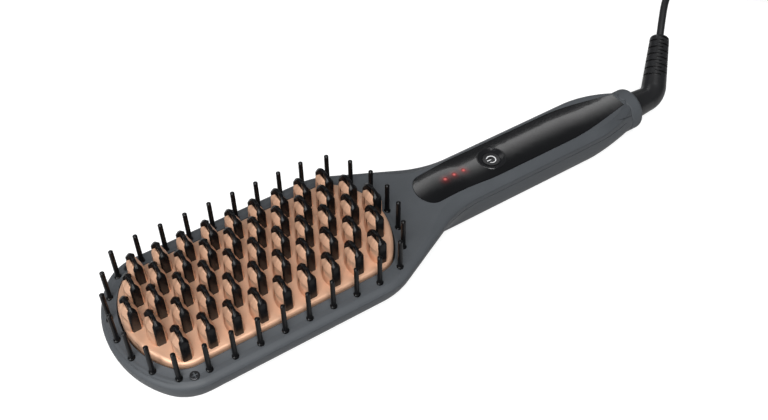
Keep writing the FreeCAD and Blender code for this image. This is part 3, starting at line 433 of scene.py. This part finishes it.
# pieces under the shells, and the plug
bareMetal = {"sockets": {"Metallic": 1.0}}
innerFinishes = [
    ("mouldedBlack", (0.03, 0.03, 0.032), 0.5, {}, [
        "pin_carrier", "insulator_frame", "tact_switch", "switch_plunger",
        "contact_block", "board_components"]),
    ("bushWhite", (0.62, 0.62, 0.58), 0.45, {}, ["swivel_bush", "swivel_rotor"]),
    ("heaterAlloy", (0.6, 0.6, 0.61), 0.4, bareMetal, ["ptc_heater", "heat_shield"]),
    ("micaTan", (0.5, 0.4, 0.25), 0.6, {"cloud": 0.6, "cloudScale": 150.0}, ["mica_sheet"]),
    ("clampSteel", (0.5, 0.5, 0.5), 0.35, bareMetal, ["heater_clamp"]),
    ("sensorCoat", (0.45, 0.16, 0.08), 0.4, {}, ["thermistor", "thermal_fuse"]),
    ("boardGreen", (0.02, 0.12, 0.045), 0.35, {"cloud": 0.5, "cloudScale": 300.0}, ["control_board"]),
    ("contactBrass", (0.7, 0.5, 0.2), 0.3, bareMetal, ["slip_rings", "contact_springs"]),
    ("leadRed", (0.35, 0.025, 0.02), 0.5, {}, ["heater_leads", "supply_leads"]),
    ("plugBlack", (0.014, 0.014, 0.015), 0.4, {"bump": 0.12, "grain": 1800.0}, ["plug_body"]),
    ("pinMetal", (0.75, 0.74, 0.72), 0.2, bareMetal, ["plug_pins"]),
]
for name, color, rough, changes, members in innerFinishes:
    dress(grainMaterial(name, color, rough, changes), *members)
print("finishes set")

# tooth field: black cores that stand above copper lobes
headX = middleOf("heating_plate").x
fieldSet = {
    "rows": (9, 10, 11, 10, 9),
    "pitch": 0.0105,
    "rowPitch": 0.01,
    "crest": 0.0396,  # tips over the middle line
    "fall": 6.25,  # tips fall away to the sides by this times the square of y
    "edgeAngle": 35,  # degrees, corners sharper than this are rounded
    "edgeSteps": 2,
    "sharpAngle": 25,
}
coreSet = {
    "height": 0.0128,
    "drop": 0.0022,  # of the top, from the middle to the ends
    "sink": 0.0012,  # into the plate
    "ridge": 0.00042,  # half width of the top
    "chamfer": 0.0002,
    "shoulder": 0.0012,  # slope of the end blocks, from the ridge to their sides
    "plan": [  # y, half width
        (0.0, 0.0007), (0.0014, 0.0007), (0.0028, 0.0007),
        (0.0035, 0.00175), (0.0043, 0.00178), (0.0047, 0.0014),
    ],
    "edge": 0.00018,
}
lobeSet = {
    "play": 0.00002,  # between lobe and core
    "least": 0.00012,  # thickness
    "tops": [(0.0, 0.0095), (0.0014, 0.0095), (0.0026, 0.0093), (0.0036, 0.0084), (0.004, 0.0072)],  # y, z
    "foot": (0.0035, 0.0024),  # half width in the middle and at the ends
    "levels": [(0.002, 0.0033, 0.0023), (0.0068, 0.0029, 0.0021)],  # z, then the half widths
    "top": (0.0012, 0.0012),
    "edge": 0.00016,
}


def between(table, at):
    for (a, low), (b, high) in zip(table, table[1:]):
        if at <= b:
            return low + (high - low) * (at - a) / (b - a)
    return table[-1][1]


def bothWays(table):
    ahead = [y for y, value in table]
    return [-y for y in reversed(ahead[1:])] + ahead


def coreProfile(s, y):
    half = between(s["plan"], abs(y))
    web, block = s["plan"][0][1], s["plan"][-2][1]
    top = s["height"] - s["drop"] * (y / s["plan"][-1][0]) ** 2
    side = top - s["chamfer"] - s["shoulder"] * (half - web) / (block - web)
    right = [(s["ridge"], top), (half, side), (half, -s["sink"])]
    return [(-x, z) for x, z in reversed(right)] + right


def lobeProfile(s, core, y):
    inner = between(core["plan"], abs(y)) + s["play"]
    top = between(s["tops"], abs(y))
    bow = 1 - (y / s["tops"][-1][0]) ** 2

    def outer(middle, end):
        return max(end + (middle - end) * bow, inner + s["least"])

    points = [(inner, -core["sink"]), (outer(*s["foot"]), -core["sink"])]
    points += [(outer(middle, end), min(height, top - s["edge"])) for height, middle, end in s["levels"]]
    return points + [(outer(*s["top"]), top), (inner, top)]


def loftAlong(name, stations, profileAt, field, edge, flip=1):
    bm = bmesh.new()
    place = bm.verts.layers.int.new("place")
    corners = []
    for i, (x, z) in enumerate(profileAt(stations[0])):
        corner = bm.verts.new((flip * x, stations[0], z))
        corner[place] = i
        corners.append(corner)
    cap = bm.faces.new(corners)
    for y in stations[1:]:
        grown = bmesh.ops.extrude_face_region(bm, geom=[cap])["geom"]
        cap = only(bmesh.types.BMFace, grown)[0]
        profile = profileAt(y)
        for v in cap.verts:
            x, z = profile[v[place]]
            v.co = (flip * x, y, z)
    bmesh.ops.recalc_face_normals(bm, faces=bm.faces)
    corners = [e for e in bm.edges if e.calc_face_angle(0) > math.radians(field["edgeAngle"])]
    roundEdges(bm, corners, edge, field["edgeSteps"], clamp=True)
    return meshFrom(bm, name)


def standInRows(name, shapes, s, drop, material, replaced):
    bm = bmesh.new()
    middle = (len(s["rows"]) - 1) / 2
    for row, count in enumerate(s["rows"]):
        y = (middle - row) * s["rowPitch"]
        z = s["crest"] - s["fall"] * y * y - drop
        for i in range(count):
            x = headX + (i - (count - 1) / 2) * s["pitch"]
            for shape in shapes:
                bmesh.ops.translate(bm, verts=addCopy(bm, shape), vec=(x, y, z))
    mesh = meshFrom(bm, name)
    shadeSmooth(mesh, s["sharpAngle"])
    piece = addObject(name, mesh, material)
    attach(piece, "brush_body")
    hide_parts(replaced)
    print(name, len(mesh.polygons), "faces")


def makeTeeth(field, core, lobe):
    tip = loftAlong("tip", bothWays(core["plan"]), lambda y: coreProfile(core, y), field, core["edge"])
    lobes = []
    for way in (-1, 1):
        lobes.append(loftAlong("lobe", bothWays(lobe["tops"]), lambda y: lobeProfile(lobe, core, y),
                               field, lobe["edge"], way))
    standInRows("coolTips", [tip], field, core["height"], pinBlack, "cool_tips")
    standInRows("copperLobes", lobes, field, core["height"], copperCoat, "heating_fins")


makeTeeth(fieldSet, coreSet, lobeSet)

# soft rise of the rim towards the plate
rimSet = {
    "floor": 0.021,  # height of the rim's face
    "rise": 0.0013,
    "dip": 0.0003,  # ends under the rim's face
    "inner": -0.0031,  # from the line of the guard pins
    "outer": 0.0022,
    "rings": 8,
    "sink": 0.0006,
    "half": 0.0303,  # half width of the pins' line
    "reach": 0.05985,  # half its length
    "endRadius": 0.0399,
    "cornerRadius": 0.0147,
    "endSteps": 12,
    "cornerSteps": 14,
    "sharpAngle": 40,
}


def arcPoints(middle, radius, start, end, steps):
    angles = [start + (end - start) * i / steps for i in range(steps + 1)]
    return [middle + Vector((math.cos(a), math.sin(a), 0)) * radius for a in angles]


def rimQuarter(s, grow):
    back = math.sqrt((s["endRadius"] - s["cornerRadius"]) ** 2 - (s["half"] - s["cornerRadius"]) ** 2)
    end = Vector((s["reach"] - s["endRadius"], 0, 0))
    corner = end + Vector((back, s["half"] - s["cornerRadius"], 0))
    turn = math.atan2(corner.y, back)
    front = arcPoints(end, s["endRadius"] + grow, 0, turn, s["endSteps"])
    side = arcPoints(corner, s["cornerRadius"] + grow, turn, math.pi / 2, s["cornerSteps"])
    return front[:-1] + side


def rimLoop(bm, s, grow, z):
    quarter = rimQuarter(s, grow)
    half = quarter + [Vector((-p.x, p.y, 0)) for p in reversed(quarter)]
    ring = half + [Vector((p.x, -p.y, 0)) for p in reversed(half[1:-1])]
    corners = [bm.verts.new((headX + p.x, p.y, z)) for p in ring]
    return [bm.edges.new((a, b)) for a, b in zip(corners, corners[1:] + corners[:1])]


def makeRim(s):
    bm = bmesh.new()
    loops = [rimLoop(bm, s, s["inner"], s["floor"] - s["sink"])]
    for i in range(s["rings"] + 1):
        away = 1 - i / s["rings"]
        grow = s["outer"] + (s["inner"] - s["outer"]) * away
        height = s["floor"] - s["dip"] + (s["rise"] + s["dip"]) * away ** 2
        loops.append(rimLoop(bm, s, grow, height))
    loops.append(rimLoop(bm, s, s["outer"], s["floor"] - s["sink"]))
    for a, b in zip(loops, loops[1:] + loops[:1]):
        bmesh.ops.bridge_loops(bm, edges=a + b)
    bmesh.ops.recalc_face_normals(bm, faces=bm.faces)
    mesh = meshFrom(bm, "rimRise")
    shadeSmooth(mesh, s["sharpAngle"])
    rim = addObject("rimRise", mesh, bodyGrey)
    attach(rim, "brush_body")


makeRim(rimSet)

# cross head screws of the rim
screwSet = {
    "places": [(-0.12726, -0.0299), (-0.12726, 0.0299)],
    "top": 0.0214,
    "lean": 0.18,  # radians
    "headRadius": 0.0019,
    "headHeight": 0.0013,
    "sides": 32,
    "edge": 0.00035,
    "edgeSteps": 3,
    "slotHalf": 0.00026,
    "slotReach": 0.0012,
    "slotDepth": 0.0006,
    "sharpAngle": 35,
}


def makeScrewHead(s):
    bm = bmesh.new()
    rim = bmesh.ops.create_circle(bm, cap_ends=False, segments=s["sides"], radius=s["headRadius"])["verts"]
    rimEdges = list({e for v in rim for e in v.link_edges})
    a, b = s["slotHalf"], s["slotReach"]
    arm = [(a, a), (b, a), (b, -a)]
    cross = []
    for way in range(4):  # one arm of the cross, turned by quarters
        turn = Matrix.Rotation(-way * math.pi / 2, 3, "Z")
        cross += [bm.verts.new(turn @ Vector((x, y, 0))) for x, y in arm]
    crossEdges = [bm.edges.new((p, q)) for p, q in zip(cross, cross[1:] + cross[:1])]
    bmesh.ops.triangle_fill(bm, edges=rimEdges + crossEdges, use_beauty=True)
    for edges, depth in ((crossEdges, s["slotDepth"]), (rimEdges, s["headHeight"])):
        grown = bmesh.ops.extrude_edge_only(bm, edges=edges)["geom"]
        bmesh.ops.translate(bm, verts=only(bmesh.types.BMVert, grown), vec=(0, 0, -depth))
        bmesh.ops.edgeloop_fill(bm, edges=only(bmesh.types.BMEdge, grown))
    bmesh.ops.recalc_face_normals(bm, faces=bm.faces)
    roundEdges(bm, rimEdges, s["edge"], s["edgeSteps"])
    return meshFrom(bm, "screwHead")


def makeScrews(s):
    head = makeScrewHead(s)
    bm = bmesh.new()
    for x, y in s["places"]:
        lean = Matrix.Rotation(math.copysign(s["lean"], -y), 3, "X")  # lies in the slope of the rim
        corners = addCopy(bm, head)
        bmesh.ops.rotate(bm, verts=corners, cent=(0, 0, 0), matrix=lean)
        bmesh.ops.translate(bm, verts=corners, vec=(x, y, s["top"]))
    mesh = meshFrom(bm, "rimScrewHeads")
    shadeSmooth(mesh, s["sharpAngle"])
    screws = addObject("rimScrewHeads", mesh, screwBlack)
    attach(screws, "brush_body")
    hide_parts("rim_screws")


makeScrews(screwSet)
print("teeth, rim and screws made")

# cord: free stretch, put-away coil and plug lead on one line
cordSet = {
    "radius": 0.00175,
    "length": 1.72,
    "exit": (0.14503, 0.01879, 0.02738),
    "free": [
        (0.14383, 0.01755, 0.02637), (0.15123, 0.02515, 0.03259), (0.15874, 0.0318, 0.0372),
        (0.16874, 0.0368, 0.0394), (0.18074, 0.0394, 0.0384), (0.19324, 0.04, 0.0346),
        (0.20574, 0.039, 0.029), (0.21774, 0.0368, 0.0222), (0.22924, 0.0338, 0.0146),
        (0.24024, 0.0302, 0.0072), (0.25474, 0.0273, 0.00275), (0.26374, 0.0273, 0.00275),
    ],
    "coilMiddle": (0.26724, 0.002, 0.00275),
    "coilStart": 0.0253,
    "coilStep": 0.004,
    "coilTurns": (2.75, 3.25, 3.25, 2.75),
    "climbTurns": 0.5,
    "coilPoints": 16,  # in a turn
    "plugLead": [
        (0.27074, 0.0273, 0.01475), (0.28338, 0.0273, 0.01475),
        (0.2976, 0.0273, 0.00685), (0.31024, 0.0273, 0.00685),
    ],
    "followsSwivel": ((0.1475, 0.0, 0.02), (0.2292, 0.0, 0.02)),
    "order": 3,
    "lineSteps": 5,
    "roundSteps": 5,
}


def coilPoint(s, turns):
    x, y, height = s["coilMiddle"]
    radius = s["coilStart"]
    left = turns
    reversal = 0.0
    way = -1
    for i, count in enumerate(s["coilTurns"]):  # winds in and out, climbs a layer where it reverses
        done = min(left, count)
        radius += way * s["coilStep"] * done
        left -= done
        way = -way
        reversal += count
        if i + 1 < len(s["coilTurns"]):
            climbed = min(max((turns - reversal) / s["climbTurns"] + 0.5, 0), 1)
            height += s["coilStep"] * (1 - math.cos(math.pi * climbed)) / 2
    radius /= math.cos(math.pi / s["coilPoints"])  # the spline runs inside its points
    angle = math.pi / 2 - 2 * math.pi * turns
    return (x + radius * math.cos(angle), y + radius * math.sin(angle), height)


def makeCord(s):
    count = int(sum(s["coilTurns"]) * s["coilPoints"])
    coil = [coilPoint(s, (i + 0.5) / s["coilPoints"]) for i in range(count)]
    points = s["free"] + coil + s["plugLead"]
    data = bpy.data.curves.new("cordLine", "CURVE")
    data.dimensions = "3D"
    data.resolution_u = s["lineSteps"]
    spline = data.splines.new("NURBS")
    spline.points.add(len(points) - 1)
    for knot, point in zip(spline.points, points):
        knot.co = (*point, 1)
    spline.order_u = s["order"]
    spline.use_endpoint_u = True
    line = bpy.data.objects.new("cordLine", data)
    scene.collection.objects.link(line)
    bpy.context.view_layer.update()
    path = [v.co.copy() for v in bpy.data.meshes.new_from_object(line).vertices]
    data.bevel_depth = s["radius"]
    data.bevel_resolution = s["roundSteps"]
    data.use_fill_caps = True
    bpy.context.view_layer.update()
    thick = line.evaluated_get(bpy.context.evaluated_depsgraph_get())
    mesh = bpy.data.meshes.new_from_object(thick)
    bpy.data.objects.remove(line)
    shadeSmooth(mesh)
    cord = addObject("mainsCord", mesh, cordRubber)
    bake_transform(cord)
    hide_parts("power_cord", "cord_coil", "plug_cord")
    return cord, path


mainsCord, cordPath = makeCord(cordSet)

# strap round the coil
tieSet = {
    "thick": 0.0006,
    "corner": 0.0018,
    "cornerSteps": 6,
    "color": (0.02, 0.02, 0.021),
    "rough": 0.55,
    "finish": {"bump": 0.2, "grain": 1500.0},
}


def makeTie(s):
    low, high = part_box("cord_tie")
    bm = bmesh.new()
    bmesh.ops.create_cube(bm, size=1.0)
    bmesh.ops.scale(bm, verts=bm.verts, vec=high - low)
    bmesh.ops.translate(bm, verts=bm.verts, vec=(low + high) / 2)
    ends = [f for f in bm.faces if abs(f.normal.x) > 0.5]
    bmesh.ops.delete(bm, geom=ends, context="FACES_ONLY")
    along = [e for e in bm.edges if not e.is_boundary]
    roundEdges(bm, along, s["corner"], s["cornerSteps"])
    bmesh.ops.recalc_face_normals(bm, faces=bm.faces)
    bmesh.ops.solidify(bm, geom=bm.faces, thickness=s["thick"])
    bmesh.ops.recalc_face_normals(bm, faces=bm.faces)
    tieRubber = grainMaterial("tieRubber", s["color"], s["rough"], s["finish"])
    tie = addObject("coilTie", meshFrom(bm, "coilTie"), tieRubber)
    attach(tie, "brush_body")
    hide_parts("cord_tie")
    return tie


coilTie = makeTie(tieSet)
print("cord laid,", len(cordPath), "points")
